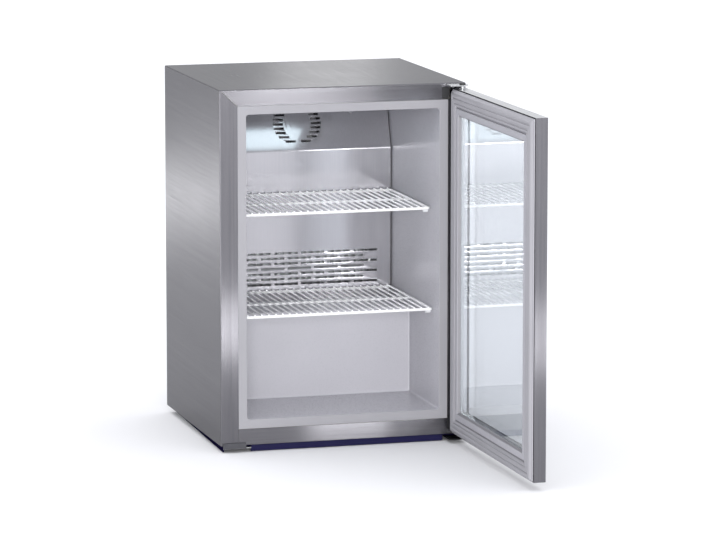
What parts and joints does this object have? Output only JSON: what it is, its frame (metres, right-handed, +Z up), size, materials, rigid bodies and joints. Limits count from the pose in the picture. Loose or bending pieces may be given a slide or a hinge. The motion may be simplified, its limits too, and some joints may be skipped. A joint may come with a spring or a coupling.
{
  "type": "compact glass-door refrigerator",
  "caption": "Compact stainless refrigerator with a hinged glass door standing open, wire shelves, slotted evaporator cover and rear condenser.",
  "frame": {"origin": "middle of the underside of the bounding box, on the floor, with the door open as pictured", "axes": "+Z up, +Y from the door to the rear, +X to the right as seen from the front"},
  "size_m": [0.4256, 0.8526, 0.609],
  "materials": {
    "stainless": "brushed",
    "galvanised_sheet": "matt zinc",
    "insulation": "open foam",
    "liner_plastic": "satin",
    "black_plastic": "matt",
    "plinth_plastic": "satin",
    "rubber": "matt",
    "bright_steel": "bright",
    "dark_steel": "black passivated",
    "mirror_aluminium": "polished",
    "plain_aluminium": "mill",
    "white_plastic": "satin",
    "lamp_plastic": "frosted",
    "coated_wire": "white coating",
    "glass": "clear",
    "door_plastic": "satin",
    "gasket_rubber": "soft satin",
    "black_enamel": "semi-gloss",
    "copper": "drawn"
  },
  "bodies": {
    "cabinet": {"base_pan": "black_plastic", "bottom_hinge_bracket": "dark_steel", "compressor": "black_enamel", "condenser_hanger": "black_enamel", "condenser_tube": "black_enamel", "condenser_wires": "black_enamel", "control_housing": "white_plastic", "corner_stop": "dark_steel", "discharge_pipe": "copper", "drain_pan": "black_plastic", "evaporator_cover": "mirror_aluminium", "evaporator_fins": "plain_aluminium", "evaporator_tube": "plain_aluminium", "fan_housing": "black_plastic", "fan_motor": "black_plastic", "filter_drier": "copper", "foot_front_left": "rubber", "foot_front_right": "rubber", "foot_rear_left": "rubber", "foot_rear_right": "rubber", "front_bottom_rail": "stainless", "grommet_front_left": "rubber", "grommet_front_right": "rubber", "grommet_rear_left": "rubber", "grommet_rear_right": "rubber", "hinge_block": "black_plastic", "inner_liner": "liner_plastic", "insulation_foam": "insulation", "lamp_diffuser": "lamp_plastic", "liquid_pipe": "copper", "lower_shelf_peg_front_left": "white_plastic", "lower_shelf_peg_front_right": "white_plastic", "lower_shelf_peg_rear_left": "white_plastic", "lower_shelf_peg_rear_right": "white_plastic", "niche_liner": "galvanised_sheet", "outer_wrapper": "stainless", "plinth_strip": "plinth_plastic", "power_inlet": "black_plastic", "rear_panel": "galvanised_sheet", "starter_box": "black_plastic", "suction_pipe": "copper", "top_hinge_bracket": "bright_steel", "upper_shelf_peg_front_left": "white_plastic", "upper_shelf_peg_front_right": "white_plastic", "upper_shelf_peg_rear_left": "white_plastic", "upper_shelf_peg_rear_right": "white_plastic"},
    "door": {"door_frame": "stainless", "outer_pane": "glass", "inner_pane": "glass", "pane_spacer": "plain_aluminium", "door_inner_frame": "door_plastic", "door_gasket": "gasket_rubber", "hinge_bush_top": "white_plastic", "hinge_bush_bottom": "white_plastic", "grip_cup": "black_plastic"},
    "upper_shelf": {"upper_shelf": "coated_wire"},
    "lower_shelf": {"lower_shelf": "coated_wire"},
    "fan": {"fan_blade": "black_plastic"},
    "knob": {"thermostat_knob": "white_plastic"},
    "switch": {"light_switch": "black_plastic"}
  },
  "joints": [
    {"name": "door_hinge", "type": "hinge", "parent": "cabinet", "child": "door", "pos_m": [0.2002, -0.0132, 0.3075], "axis": [0, 0, 1], "range_deg": [-90.5, 24.5]},
    {"name": "upper_shelf_slide", "type": "slide", "parent": "cabinet", "child": "upper_shelf", "axis": [0, -1, 0], "range_m": [0, 0.038]},
    {"name": "lower_shelf_slide", "type": "slide", "parent": "cabinet", "child": "lower_shelf", "axis": [0, -1, 0], "range_m": [0, 0.022]},
    {"name": "fan_spin", "type": "hinge", "parent": "cabinet", "child": "fan", "pos_m": [-0.0003, 0.31281, 0.50779], "axis": [0, -0.9511, 0.309], "continuous": true},
    {"name": "thermostat_turn", "type": "hinge", "parent": "cabinet", "child": "knob", "pos_m": [0.0617, 0.1913, 0.5444], "axis": [0, 0, 1], "range_deg": [0, 270]},
    {"name": "switch_rock", "type": "hinge", "parent": "cabinet", "child": "switch", "pos_m": [0.0617, 0.1463, 0.5514], "axis": [1, 0, 0], "range_deg": [0, 14]}
  ]
}
